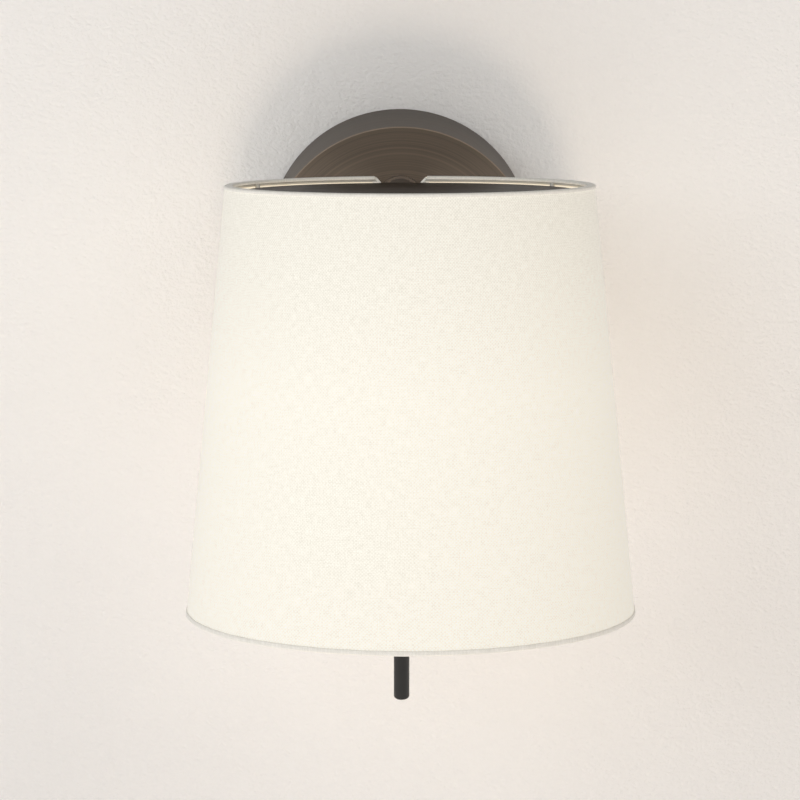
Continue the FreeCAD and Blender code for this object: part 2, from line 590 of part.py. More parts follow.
def make_hems():
    """Folded edges that wrap the sheet and the wire ring at the top and the bottom."""
    inner = SHELL_THICKNESS + 2 * WIRE_GAP + HEM_THICKNESS
    top = fold(RIM_Z, -1, TOP_HEM_OUTSIDE, TOP_HEM_INSIDE, inner + TOP_WIRE).cut(notch_prism())
    for i in range(SPIDER_ARMS):
        slit_end = spider_corner(i) + Z_AXIS * (RIM_Z - HEM_THICKNESS - SPIDER_WIRE_Z)
        top = top.cut(bar(SPIDER_WIRE / 2 + WIRE_GAP, spider_corner(i), slit_end))
    save("top_hem", lean(top))
    bottom = fold(HEM_Z, 1, BOTTOM_HEM_OUTSIDE, BOTTOM_HEM_INSIDE, inner + BOTTOM_WIRE)
    save("bottom_hem", lean(bottom))


def fold(edge, way, outside, inside, depth):
    """Channel round a rim: edge is the rim's height, and the folds run from it to the side way."""
    skin = HEM_THICKNESS
    outer_end = edge + way * outside
    inner_end = edge + way * inside
    under = edge + way * skin
    outline = [(cone_radius(edge) + skin, edge), (cone_radius(outer_end) + skin, outer_end),
               (cone_radius(outer_end), outer_end), (cone_radius(under), under),
               (cone_radius(under) - depth + skin, under), (cone_radius(inner_end) - depth + skin, inner_end),
               (cone_radius(inner_end) - depth, inner_end), (cone_radius(edge) - depth, edge)]
    return turned(outline, shade_axis())


def spider_direction(i):
    """Level direction of a spider arm; the first pair stands at each side of the notch."""
    turn = math.radians(90 + SHADE_TURN + 180.0 / SPIDER_ARMS + i * 360.0 / SPIDER_ARMS)
    return vec(math.cos(turn), math.sin(turn), 0)


def spider_corner(i):
    """Where a spider arm turns up, so that its end lies against the wire ring in the rim."""
    reach = wire_ring_radius(TOP_WIRE_Z, TOP_WIRE) - (TOP_WIRE + SPIDER_WIRE) / 2
    return vec(SHADE_SHIFT, 0, SPIDER_WIRE_Z) + spider_direction(i) * reach


def make_spider():
    """Flat ring on the holder's flange, with arms that bend up to the wire ring in the rim."""
    low = vec(SHADE_SHIFT, 0, RING_NUT_TOP_Z)
    high = vec(SHADE_SHIFT, 0, SPIDER_TOP_Z)
    spider = tube(SPIDER_RING_OUTER, SPIDER_RING_HOLE, low, high)
    wire = SPIDER_WIRE / 2
    arms = []
    for i in range(SPIDER_ARMS):
        along = spider_direction(i)
        start = vec(SHADE_SHIFT, 0, SPIDER_WIRE_Z) + along * (SPIDER_RING_OUTER - SPIDER_WELD)
        corner = spider_corner(i)
        end = corner + Z_AXIS * (TOP_WIRE_Z - SPIDER_WIRE_Z)
        arms.append(bent_wire([start, corner, end], SPIDER_BEND, wire))
    spider = spider.multiFuse(arms)
    for i in range(SPIDER_ARMS):
        seat = post_point(i, SPIDER_WIRE_Z)
        spider = spider.cut(bar(DISC_SCREW_RADIUS, seat - Z_AXIS * SPIDER_WIRE, seat + Z_AXIS * SPIDER_WIRE))
        eye = tube(DISC_POST_RADIUS, DISC_SCREW_RADIUS, seat - Z_AXIS * wire, seat + Z_AXIS * wire)
        spider = spider.fuse(eye)
    save("shade_spider", lean(spider))


def post_point(i, z):
    return vec(SHADE_SHIFT, 0, z) + spider_direction(i) * DISC_POST_DISTANCE


def make_disc():
    """Dark disc that closes the shade under its rim, on three posts that stand on the spider's arms."""
    disc_end = DISC_TOP_Z - DISC_THICKNESS
    save("top_disc", lean(bar(DISC_RADIUS, vec(SHADE_SHIFT, 0, disc_end), vec(SHADE_SHIFT, 0, DISC_TOP_Z))))
    posts = []
    screws = []
    foot = SPIDER_WIRE_Z + SPIDER_WIRE / 2
    under = SPIDER_WIRE_Z - SPIDER_WIRE / 2
    for i in range(SPIDER_ARMS):
        post = bar(DISC_POST_RADIUS, post_point(i, foot), post_point(i, disc_end))
        thread_end = post_point(i, foot + 2 * DISC_POST_RADIUS)
        posts.append(lean(post.cut(bar(DISC_SCREW_RADIUS, post_point(i, foot), thread_end))))
        head = bar(DISC_POST_RADIUS, post_point(i, under - DISC_SCREW_RADIUS), post_point(i, under))
        screws.append(lean(head.fuse(bar(DISC_SCREW_RADIUS, post_point(i, under), thread_end))))
    save("disc_posts", *posts)
    save("disc_screws", *screws)


# ---------------------------------------------------------------- pull switch
def switch_point(z):
    return SWITCH_AXIS + Z_AXIS * z


def make_switch_body():
    """Saddle clamped round the arm, with the closed switch housing screwed under it."""
    saddle_top = ARM_HEIGHT + ARM_RADIUS + SADDLE_ABOVE_ARM
    saddle = bar(SADDLE_RADIUS, switch_point(SADDLE_END_Z), switch_point(saddle_top))
    run = 2 * SADDLE_RADIUS
    saddle = saddle.cut(bar(ARM_RADIUS, arm_point(SWITCH_OUT - run), arm_point(SWITCH_OUT + run)))
    grub_start = switch_point(ARM_HEIGHT + ARM_RADIUS)
    grub_end = switch_point(saddle_top - FACE_GAP)
    saddle = saddle.cut(bar(GRUB_RADIUS, switch_point(ARM_HEIGHT), switch_point(saddle_top)))
    save("switch_saddle", saddle)
    save("saddle_grub_screw", bar(GRUB_RADIUS, grub_start, grub_end))

    housing = bar(SADDLE_RADIUS, switch_point(SWITCH_END_Z), switch_point(SADDLE_END_Z))
    cavity = bar(SADDLE_RADIUS - SWITCH_WALL, switch_point(bush_top_z()), switch_point(SADDLE_END_Z))
    bush_hole = bar(BUSH_RADIUS, switch_point(SWITCH_END_Z), switch_point(bush_top_z()))
    save("switch_housing", housing.cut(cavity).cut(bush_hole))


def contact_block_z():
    return SADDLE_END_Z - CONTACT_THICKNESS


def plunger_top_z():
    """Top of the plunger's flange at rest, just under the contact pins."""
    return contact_block_z() - CONTACT_PIN_RADIUS * 2


def make_switch_inside():
    """Contact block, guide bush and return spring."""
    block = bar(SADDLE_RADIUS - SWITCH_WALL, switch_point(contact_block_z()), switch_point(SADDLE_END_Z))
    pins = []
    for side in (-1, 1):
        place = X_AXIS * (side * PLUNGER_RADIUS / 2)
        low = switch_point(plunger_top_z() + FACE_GAP) + place
        high = switch_point(SADDLE_END_Z) + place
        block = block.cut(bar(CONTACT_PIN_RADIUS, low, high))
        pins.append(bar(CONTACT_PIN_RADIUS, low, high))
    save("contact_block", block)
    save("contact_pins", *pins)

    bore = ROD_RADIUS + RUNNING_FIT
    bush = tube(BUSH_RADIUS, bore, switch_point(SWITCH_END_Z), switch_point(bush_top_z()))
    flange_end = SWITCH_END_Z - BUSH_FLANGE_THICKNESS
    flange = tube(BUSH_FLANGE_RADIUS, bore, switch_point(flange_end), switch_point(SWITCH_END_Z))
    save("switch_bush", bush.fuse(flange).removeSplitter())
    make_return_spring()


def bush_top_z():
    return SWITCH_END_Z + SWITCH_WALL


def make_return_spring():
    """Return spring as one unbroken coil of biarcs, a quarter turn each, between bush and plunger."""
    radius = ROD_RADIUS + SPRING_PLAY + SPRING_WIRE / 2
    low = bush_top_z() + SPRING_PLAY + SPRING_WIRE / 2
    high = plunger_top_z() - PLUNGER_THICKNESS - SPRING_PLAY - SPRING_WIRE / 2
    rise = (high - low) / (2 * math.pi * SPRING_TURNS)
    edges = []
    step = math.pi / 2
    for i in range(4 * SPRING_TURNS):
        edges += quarter_biarc(i * step, (i + 1) * step, radius, low, rise)
    start, tangent = coil_point(0, radius, low, rise)
    section = Part.Wire(Part.makeCircle(SPRING_WIRE / 2, start, tangent))
    save("return_spring", Part.Wire(edges).makePipeShell([section], True, False))
    gap = (high - low) / SPRING_TURNS - SPRING_WIRE
    pulled = gap - SWITCH_TRAVEL / SPRING_TURNS
    print("return spring: least gap between turns %.2f mm, %.2f mm at full pull" % (gap, pulled))


def coil_point(turn, radius, low, rise):
    """Point and direction on the spring's middle line."""
    point = switch_point(low + rise * turn) + vec(radius * math.cos(turn), radius * math.sin(turn), 0)
    tangent = vec(-radius * math.sin(turn), radius * math.cos(turn), rise)
    return point, tangent.normalize()


def quarter_biarc(turn_a, turn_b, radius, low, rise):
    """Two arcs that join two points of the coil and share its directions there."""
    a, ta = coil_point(turn_a, radius, low, rise)
    b, tb = coil_point(turn_b, radius, low, rise)
    span = b - a
    both = ta + tb
    square = 2 * (1 - ta.dot(tb))
    along = span.dot(both)
    reach = (math.sqrt(along ** 2 + square * span.dot(span)) - along) / square
    joint = (a + b + (ta - tb) * reach) * 0.5
    return [arc_from(a, ta, joint), arc_from(b, tb * -1, joint, True)]


def arc_from(start, tangent, end, backwards=False):
    """Arc that leaves start along tangent and ends at end."""
    chord = end - start
    side = chord - tangent * chord.dot(tangent)
    side.normalize()
    radius = chord.dot(chord) / (2 * chord.dot(side))
    centre = start + side * radius
    middle = (start + end) * 0.5 - centre
    middle.normalize()
    crown = centre + middle * radius
    return Part.Arc(end, crown, start).toShape() if backwards else Part.Arc(start, crown, end).toShape()


def make_pull_rod():
    """Pull rod with a rounded tip, and the plunger flange fixed on its upper end."""
    tip = switch_point(-ROD_END)
    top = switch_point(plunger_top_z())
    rod = bar(ROD_RADIUS, tip, top)
    low_edge = [edge for edge in rod.Edges if edge.BoundBox.ZMax < tip.z + FACE_GAP]
    save("pull_rod", rod.makeFillet(ROD_TIP_ROUND, low_edge))
    flange_end = switch_point(plunger_top_z() - PLUNGER_THICKNESS)
    save("plunger", tube(PLUNGER_RADIUS, ROD_RADIUS, flange_end, top))


# ---------------------------------------------------------------- all pieces
def main():
    os.makedirs("parts", exist_ok=True)
    make_canopy()
    make_bracket()
    make_bracket_screws()
    make_terminal()
    make_arm()
    make_fork()
    make_tilt_screw()
    make_tongue()
    make_holder()
    make_bulb()
    make_ring_nut()
    make_shade_skins()
    make_rings()
    make_hems()
    make_spider()
    make_disc()
    make_switch_body()
    make_switch_inside()
    make_pull_rod()
    for name, shape in NODES.items():
        facts = (name, len(shape.Solids), shape.isValid(), shape.Volume)
        print("%-18s solids %d valid %s volume %.1f" % facts)


main()
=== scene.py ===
"""Fabric shade wall light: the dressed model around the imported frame.

The wall plate's back lies on the wall, in the plane Y = 0, with its centre at the origin. X runs right,
Z up, and the light stands out from the wall along -Y. Lengths are metres. The cloth and its tapes are
worked out on the upright head, with the tilt pivot at the origin, Z along the shade's axis and +Y
towards the wall, and leaned() then sets them in place.
"""
import json
import math

import bmesh
import bpy
import numpy as np
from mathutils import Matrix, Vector

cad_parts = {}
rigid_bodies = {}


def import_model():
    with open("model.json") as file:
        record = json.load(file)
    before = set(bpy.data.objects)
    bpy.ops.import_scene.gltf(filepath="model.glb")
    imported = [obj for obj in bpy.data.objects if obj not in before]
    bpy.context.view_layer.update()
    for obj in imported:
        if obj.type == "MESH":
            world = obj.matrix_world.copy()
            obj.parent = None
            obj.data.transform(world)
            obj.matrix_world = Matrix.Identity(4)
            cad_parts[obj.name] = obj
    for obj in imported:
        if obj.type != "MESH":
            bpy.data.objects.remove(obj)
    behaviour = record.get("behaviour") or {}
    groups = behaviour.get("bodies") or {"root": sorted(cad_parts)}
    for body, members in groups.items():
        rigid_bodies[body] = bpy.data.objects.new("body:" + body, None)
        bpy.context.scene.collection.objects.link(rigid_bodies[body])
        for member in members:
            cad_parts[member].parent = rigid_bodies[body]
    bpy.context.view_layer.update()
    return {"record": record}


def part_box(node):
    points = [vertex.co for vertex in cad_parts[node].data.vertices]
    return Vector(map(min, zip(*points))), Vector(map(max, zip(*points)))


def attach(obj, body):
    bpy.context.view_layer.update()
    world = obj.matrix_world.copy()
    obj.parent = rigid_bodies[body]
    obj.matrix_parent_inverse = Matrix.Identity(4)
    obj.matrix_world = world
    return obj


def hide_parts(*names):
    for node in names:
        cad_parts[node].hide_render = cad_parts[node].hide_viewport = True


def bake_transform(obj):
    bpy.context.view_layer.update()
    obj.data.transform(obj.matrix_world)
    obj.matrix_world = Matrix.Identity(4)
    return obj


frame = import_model()

MM = 0.001
FULL_TURN = 2 * math.pi

# ---------------------------------------------------------------- places and sizes from the frame
JOINTS = {joint["name"]: joint for joint in frame["record"]["behaviour"]["joints"]}
PIVOT = np.array(JOINTS["head_tilt"]["pos_m"], float)
ARM_HEIGHT = PIVOT[2]
PLATE_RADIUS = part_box("canopy")[1][0]
PLATE_DEPTH = -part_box("canopy")[0][1]

# ---------------------------------------------------------------- sizes, as in the part's source
REST_LEAN = math.radians(12.0)
SHADE_TOP_RADIUS = 87.5 * MM
SHADE_BOTTOM_RADIUS = 107.5 * MM
SHADE_HEIGHT = 205.0 * MM
SHADE_SHIFT = 3.3 * MM    # how far the shade sits to one side in the play of its ring
RIM_Z = 31.0 * MM         # the rim's height above the tilt pivot
HEM_Z = RIM_Z - SHADE_HEIGHT
SLANT = math.hypot(SHADE_HEIGHT, SHADE_BOTTOM_RADIUS - SHADE_TOP_RADIUS)
NOTCH_HALF = 10.25 * MM
NOTCH_FLARE = 3.3 * MM    # the notch opens by this much at each side of the rim, at 45 degrees
NOTCH_DEPTH = 35.53 * MM
SHELL = 1.1 * MM          # cloth and lining together
RING_WIRE = 2.4 * MM
NOTCH_WIRE = 1.6 * MM
WIRE_GAP = 0.05 * MM      # between a wire and the sheet or tape beside it

SPRING_WIRE_RADIUS = 0.45 * MM
SPRING_TURNS = 5

# ---------------------------------------------------------------- sizes of the scene's own pieces
CLOTH = 0.55 * MM
LAP_START = -0.02         # turn, in radians, at which the cloth's lapped seam starts, at the back
LAP_WIDTH = 9.0 * MM
LAP_STEP = 0.3 * MM       # how much the lap stands out
TAPE = 0.4 * MM
BINDING = 0.3 * MM
EDGE_HIGHLIGHT = 0.5 * MM      # width of the painted highlight line round the wall plate's front edge

WALL_GAP = 0.3 * MM       # from the wall's sheet to the plate's back
FLOOR_Z = -1.25           # the floor's height, with the wall plate's middle at 0
STAGE_HALF = 1.6          # half the width of the wall and floor sheets

# ---------------------------------------------------------------- light and camera
SURROUNDINGS = (0.84, 0.83, 0.815)    # what is seen past the wall and the floor
LAMP_AIM = Vector((0, -0.1, -0.05))
LAMP_SIZE = 1.2
LAMPS = (                 # name, place, watts and colour of the two large soft lamps
    ("key_lamp", (-1.2, -1.6, 1.1), 12.7, (0.88, 0.95, 1.0)),
    ("fill_lamp", (1.0, -1.5, 1.4), 9.2, (1.0, 0.95, 0.86)),
)
BULB_POWER = 0.54         # watts of the small lamp that stands for the bulb's light on the wall
BULB_COLOUR = (1.0, 0.80, 0.60)
BULB_SOFTNESS = 28 * MM
LIT_BY_BULB = ("wall_backdrop", "pale_floor", "canopy", "arm_collar", "arm_socket")

CAMERA_PLACE = (-0.01805, -1.5058, 0.4244)
CAMERA_LOOK = Vector((0.01124, 0.94725, -0.32028))
CAMERA_LENS = 135.0
CAMERA_SENSOR = 36.0
CAMERA_SHIFT = (0.00104, -0.01278)
CAMERA_REACH = 50.0


# ---------------------------------------------------------------- surfaces worked out with numpy
def leaned(points):
    """Points of the upright head in place: turned about X by the lean, then moved by the pivot.

    With c and s the lean's cosine and sine, (x, y, z) goes to (x, y c + z s, z c - y s) + pivot.
    """
    c, s = math.cos(REST_LEAN), math.sin(REST_LEAN)
    x, y, z = np.moveaxis(np.asarray(points, float), -1, 0)
    return np.stack([x, y * c + z * s, z * c - y * s], -1) + PIVOT


def cone_radius(z):
    """Outer radius of the shade at a height: the top radius plus an even share of the widening."""
    widening = SHADE_BOTTOM_RADIUS - SHADE_TOP_RADIUS
    return SHADE_TOP_RADIUS + widening * (RIM_Z - z) / SHADE_HEIGHT


def round_shade(radius, turn, z):
    """Points round the shade's axis, from the back: (shift + radius sin turn, radius cos turn, z)."""
    return np.stack([SHADE_SHIFT + radius * np.sin(turn), radius * np.cos(turn), z], -1)


def run_length(points):
    """Distance travelled along a line of points: 0, then the running total of the steps' lengths."""
    steps = np.linalg.norm(np.diff(points, axis=0), axis=1)
    return np.concatenate([[0], np.cumsum(steps)])


def closed(line):
    """A line of values with its first one again at the end."""
    return np.concatenate([line, line[:1]])


def surface(name, grid, material, wraps=(False, False), uv=None):
    """Quads over a grid of points, rows by columns, joined end to start where wraps says so.

    Quad (r, c) has the points (r, c), (r, c + 1), (r + 1, c + 1) and (r + 1, c). uv has one more row or
    column than the grid where that way wraps, so a weave has no jump there.
    """
    rows, cols = grid.shape[:2]
    r = np.arange(rows if wraps[0] else rows - 1)
    c = np.arange(cols if wraps[1] else cols - 1)
    r, c = (a.ravel() for a in np.meshgrid(r, c, indexing="ij"))
    corner_r = np.stack([r, r, r + 1, r + 1], -1)
    corner_c = np.stack([c, c + 1, c + 1, c], -1)
    faces = (corner_r % rows) * cols + corner_c % cols
    mesh = bpy.data.meshes.new(name)
    points = grid.reshape(-1, 3)
    mesh.vertices.add(len(points))
    mesh.vertices.foreach_set("co", points.astype(np.float32).ravel())
    mesh.loops.add(faces.size)
    mesh.loops.foreach_set("vertex_index", faces.astype(np.int32).ravel())
    mesh.polygons.add(len(faces))
    mesh.polygons.foreach_set("loop_start", np.arange(0, faces.size, 4, dtype=np.int32))
    mesh.polygons.foreach_set("use_smooth", np.full(len(faces), True))
    if uv is not None:
        at_corners = uv[corner_r.ravel(), corner_c.ravel()].astype(np.float32)
        mesh.uv_layers.new(name="weave").data.foreach_set("uv", at_corners.ravel())
    mesh.update(calc_edges=True)
    mesh.validate()
    mesh.materials.append(material)
    piece = bpy.data.objects.new(name, mesh)
    bpy.context.scene.collection.objects.link(piece)
    return piece


def close_ends(piece, rows, cols):
    """Flat caps on the two ends of a surface whose columns wrap, and all faces turned outwards."""
    shell = bmesh.new()
    shell.from_mesh(piece.data)
    shell.verts.ensure_lookup_table()
    for ring in (range(cols), range((rows - 1) * cols, rows * cols)):
        shell.faces.new([shell.verts[i] for i in ring])
    bmesh.ops.recalc_face_normals(shell, faces=shell.faces[:])
    shell.to_mesh(piece.data)
    shell.free()


# ---------------------------------------------------------------- node helpers
def feed(tree, socket, value):
    """Set a socket to a number or a colour, link another node's output to it, or leave it for None."""
    if isinstance(value, (int, float)):
        socket.default_value = value
    elif isinstance(value, tuple):
        socket.default_value = (*value, 1.0)
    elif value is not None:
        tree.links.new(value, socket)


def new_material(name):
    """An empty material with one Principled shader: the material, its node tree and the shader."""
    material = bpy.data.materials.new(name)
    material.use_nodes = True
    nodes = material.node_tree.nodes
    nodes.clear()
    out = nodes.new("ShaderNodeOutputMaterial")
    shader = nodes.new("ShaderNodeBsdfPrincipled")
    material.node_tree.links.new(shader.outputs[0], out.inputs[0])
    return material, material.node_tree, shader


def settings(shader, **values):
    """Numbers that are the same all over a surface, set on the shader's own sockets."""
    for label, value in values.items():
        shader.inputs[label.replace("_", " ")].default_value = value


def texture_point(tree, kind="Object"):
    """One output of a Texture Coordinate node."""
    return tree.nodes.new("ShaderNodeTexCoord").outputs[kind]


def parts_of(tree, vector):
    """The three numbers of a vector."""
    split = tree.nodes.new("ShaderNodeSeparateXYZ")
    tree.links.new(vector, split.inputs[0])
    return split.outputs


def math_node(tree, operation, a, b=None, c=None):
    """One sum, with numbers or outputs of other nodes."""
    node = tree.nodes.new("ShaderNodeMath")
    node.operation = operation
    for socket, value in zip(node.inputs, (a, b, c)):
        feed(tree, socket, value)
    return node.outputs[0]


def noise(tree, vector, scale, detail=3.0, rough=0.5):
    """Smooth noise from 0 to 1, with about as many clouds to the metre as its scale."""
    node = tree.nodes.new("ShaderNodeTexNoise")
    feed(tree, node.inputs["Scale"], scale)
    node.inputs["Detail"].default_value = detail
    node.inputs["Roughness"].default_value = rough
    tree.links.new(vector, node.inputs["Vector"])
    return node.outputs["Fac"]


def stretched(tree, vector, scale, location=(0, 0, 0), rotation=(0, 0, 0)):
    """A point scaled, turned and moved before a pattern reads it."""
    node = tree.nodes.new("ShaderNodeMapping")
    node.inputs["Scale"].default_value = scale
    node.inputs["Location"].default_value = location
    node.inputs["Rotation"].default_value = rotation
    tree.links.new(vector, node.inputs["Vector"])
    return node.outputs[0]


def ramp(tree, value, stops):
    """Colour by a value, even between stops of (value, colour)."""
    node = tree.nodes.new("ShaderNodeValToRGB")
    elements = node.color_ramp.elements
    while len(elements) < len(stops):
        elements.new(0.5)
    for element, (at, colour) in zip(elements, stops):
        element.position = at
        element.color = (*colour, 1.0)
    tree.links.new(value, node.inputs[0])
    return node.outputs[0]


def mixed(tree, factor, a, b, blend="MIX"):
    """Colour a with colour b laid over it by a factor."""
    node = tree.nodes.new("ShaderNodeMix")
    node.data_type = "RGBA"
    node.blend_type = blend
    for i, value in ((0, factor), (6, a), (7, b)):
        feed(tree, node.inputs[i], value)
    return node.outputs[2]


def tinted(tree, a, b):
    """Colour a times colour b."""
    return mixed(tree, 1.0, a, b, "MULTIPLY")


def bump(tree, height, distance, strength=1.0):
    """Normal of a surface with a fine relief."""
    node = tree.nodes.new("ShaderNodeBump")
    node.inputs["Distance"].default_value = distance
    node.inputs["Strength"].default_value = strength
    tree.links.new(height, node.inputs["Height"])
    return node.outputs[0]


def new_group(name, inputs, outputs):
    """An empty node group with its named inputs and outputs."""
    group = bpy.data.node_groups.new(name, "ShaderNodeTree")
    for kind, label, value in inputs:
        socket = group.interface.new_socket(label, in_out="INPUT", socket_type="NodeSocket" + kind)
        if value is not None:
            socket.default_value = value
    for label in outputs:
        group.interface.new_socket(label, in_out="OUTPUT", socket_type="NodeSocketFloat")
    given = group.nodes.new("NodeGroupInput").outputs
    return group, given, group.nodes.new("NodeGroupOutput").inputs


def placed(tree, group, **values):
    """A group set into a material with its own values, and its outputs."""
    node = tree.nodes.new("ShaderNodeGroup")
    node.node_tree = group
    for label, value in values.items():
        feed(tree, node.inputs[label.replace("_", " ")], value)
    return node.outputs


# ---------------------------------------------------------------- shared effects
def make_weave_group():
    """Plain weave over a UV in metres: threads cross over and under, and slubs thicken some of them.

    With u and v the UV in half turns to the pitch, bent a little by slow noise, the threads cross by
    sin u times sin v, and the lesser of their sizes without signs is 0 in the gaps between threads.
    """
    slow, quick = 220, 1500            # noise along a thread, and from thread to thread
    drift_rate, drift_reach = 120, 5.0
    level, crossing, roundness = 0.5, 0.18, 0.2
    group, given, put = new_group(
        "plain_weave",
        [("Vector", "Place", None), ("Float", "Pitch", 0.5 * MM), ("Float", "Unevenness", 0.5)],
        ["Height", "Gap", "Slub"])
    place = given["Place"]
    along = noise(group, stretched(group, place, (slow, quick, 1)), 1.0, 2.0)
    across = noise(group, stretched(group, place, (quick, slow, 1), (7, 3, 0)), 1.0, 2.0)
    drift = noise(group, stretched(group, place, (drift_rate, drift_rate, 1)), 1.0, 1.0)
    half_turns = math_node(group, "DIVIDE", math.pi, given["Pitch"])
    reach = math_node(group, "MULTIPLY", given["Unevenness"], drift_reach)
    bend = math_node(group, "MULTIPLY", math_node(group, "SUBTRACT", drift, 0.5), reach)
    threads = []
    for metres in list(parts_of(group, place))[:2]:
        at = math_node(group, "ADD", math_node(group, "MULTIPLY", metres, half_turns), bend)
        threads.append(math_node(group, "SINE", at))
    cross = math_node(group, "MULTIPLY", *threads)
    solid = math_node(group, "MINIMUM", *(math_node(group, "ABSOLUTE", way) for way in threads))
    slub = math_node(group, "MULTIPLY", math_node(group, "ADD", along, across), 0.5)
    relief = math_node(group, "MULTIPLY_ADD", cross, crossing, level)
    relief = math_node(group, "MULTIPLY_ADD", solid, roundness, relief)
    thick = math_node(group, "MULTIPLY", slub, given["Unevenness"])
    group.links.new(math_node(group, "ADD", relief, thick), put["Height"])
    group.links.new(math_node(group, "SUBTRACT", 1.0, solid), put["Gap"])
    group.links.new(slub, put["Slub"])
    return group


def make_turned_group():
    """Lathe marks about the Y axis through the given place: noise over the distance from that axis.

    The distance is the root of x squared plus z squared. Rings also change along the axis, bands don't.
    """
    band_rate = 420.0
    group, given, put = new_group(
        "turned_rings",
        [("Vector", "Place", None), ("Float", "Fineness", 900.0)],
        ["Rings", "Bands", "Radius"])
    x, y, z = parts_of(group, given["Place"])
    squares = (math_node(group, "POWER", way, 2.0) for way in (x, z))
    radius = math_node(group, "SQRT", math_node(group, "ADD", *squares))
    fine = group.nodes.new("ShaderNodeCombineXYZ")
    for i, way in enumerate((radius, y)):
        group.links.new(math_node(group, "MULTIPLY", way, given["Fineness"]), fine.inputs[i])
    wide = group.nodes.new("ShaderNodeCombineXYZ")
    group.links.new(math_node(group, "MULTIPLY", radius, band_rate), wide.inputs[0])
    group.links.new(noise(group, fine.outputs[0], 1.0, 4.0, 0.65), put["Rings"])
    group.links.new(noise(group, wide.outputs[0], 1.0, 4.0, 0.7), put["Bands"])
    group.links.new(radius, put["Radius"])
    return group


def make_mottle_group():
    """Soft clouds, fine grain and thin handling scratches on a painted, plated or moulded surface.

    Scratches are where noise drawn out along a slanting line goes over a high mark.
    """
    scratch_noise, scratch_slant, scratch_mark = (900, 35, 35), (0.4, 0.7, 0.3), 0.74
    group, given, put = new_group(
        "mottle",
        [("Vector", "Place", None), ("Float", "Cloud size", 120.0), ("Float", "Grain size", 2500.0)],
        ["Clouds", "Grain", "Scratches"])
    place = given["Place"]
    drawn_out = stretched(group, place, scratch_noise, (0, 0, 0), scratch_slant)
    scratches = math_node(group, "GREATER_THAN", noise(group, drawn_out, 1.0, 2.0), scratch_mark)
    group.links.new(noise(group, place, given["Cloud size"], 4.0), put["Clouds"])
    group.links.new(noise(group, place, given["Grain size"], 2.0), put["Grain"])
    group.links.new(scratches, put["Scratches"])
    return group


WEAVE = make_weave_group()
TURNED = make_turned_group()
MOTTLE = make_mottle_group()


# ---------------------------------------------------------------- materials
def make_cloth(name, light, dark, pitch, glow, glow_colour, fade=None):
    """Linen: pale thread crowns, darker gaps, slubs, sheen, and the bulb's light coming through.

    fade gives the share of that light at shares of the way from the rim down to the hem, which the
    UV's second number tells.
    """
    thin_slub, thick_slub = 0.34, 0.64
    gap_height, crown_height = 0.55, 1.05
    thin_tint, thin_glow = (0.92, 0.915, 0.90), 0.95
    material, tree, shader = new_material(name)
    place = texture_point(tree, "UV")
    weave = placed(tree, WEAVE, Place=place, Pitch=pitch, Unevenness=0.5)
    colour = ramp(tree, weave["Height"], [(gap_height, dark), (crown_height, light)])
    tint = ramp(tree, weave["Slub"], [(thin_slub, thin_tint), (thick_slub, (1.0, 1.0, 1.0))])
    tree.links.new(tinted(tree, colour, tint), shader.inputs["Base Color"])
    dim_glow = tuple(v * thin_glow for v in glow_colour)
    lit = ramp(tree, weave["Slub"], [(thin_slub, dim_glow), (thick_slub, glow_colour)])
    if fade:
        up = parts_of(tree, place)[1]
        down = math_node(tree, "MULTIPLY_ADD", up, -1 / SLANT, RIM_Z / SHADE_HEIGHT)
        shares = ramp(tree, down, [(at, (share, share, share)) for at, share in fade])
        lit = tinted(tree, lit, shares)
    tree.links.new(lit, shader.inputs["Emission Color"])
    tree.links.new(bump(tree, weave["Height"], 0.12 * MM, 0.7), shader.inputs["Normal"])
    settings(shader, Roughness=0.9, Sheen_Weight=0.3, Sheen_Roughness=0.5, Specular_IOR_Level=0.2,
             Emission_Strength=glow)
    return material


def make_bronze(name, axis_height, tones, haze):
    """Dark bronze turned about a Y axis at a height: fine rings, wider bands, and a painted highlight line
    on the plate's front edge.

    The painted highlight lies where a point is nearly as far out as the plate's rim and nearly at its
    front.
    """
    band_share, ring_share = 0.6, 0.4
    tone_marks = (0.34, 0.50, 0.66)
    haze_share, highlight_share, highlight_colour = 0.35, 0.8, (0.26, 0.195, 0.145)
    material, tree, shader = new_material(name)
    place = stretched(tree, texture_point(tree), (1, 1, 1), (0, 0, -axis_height))
    turned = placed(tree, TURNED, Place=place, Fineness=1400.0)
    mottle = placed(tree, MOTTLE, Place=place, Cloud_size=45.0, Grain_size=2200.0)
    ring_tone = math_node(tree, "MULTIPLY", turned["Rings"], ring_share)
    tone = math_node(tree, "MULTIPLY_ADD", turned["Bands"], band_share, ring_tone)
    colour = ramp(tree, tone, list(zip(tone_marks, tones)))
    colour = mixed(tree, math_node(tree, "MULTIPLY", mottle["Clouds"], haze_share), colour, haze)
    # painted highlight: a lighter line in the colour round the plate's front edge, where light catches its
    # corner
    far_out = math_node(tree, "GREATER_THAN", turned["Radius"], PLATE_RADIUS - EDGE_HIGHLIGHT)
    depth = parts_of(tree, place)[1]
    in_front = math_node(tree, "LESS_THAN", depth, EDGE_HIGHLIGHT - PLATE_DEPTH)
    on_edge = math_node(tree, "MULTIPLY", far_out, in_front)
    colour = mixed(tree, math_node(tree, "MULTIPLY", on_edge, highlight_share), colour, highlight_colour)
    tree.links.new(colour, shader.inputs["Base Color"])
    rough = math_node(tree, "MULTIPLY_ADD", turned["Bands"], 0.2, 0.42)
    tree.links.new(rough, shader.inputs["Roughness"])
    tree.links.new(bump(tree, turned["Rings"], 0.05 * MM, 0.5), shader.inputs["Normal"])
    settings(shader, Metallic=0.3)
    return material


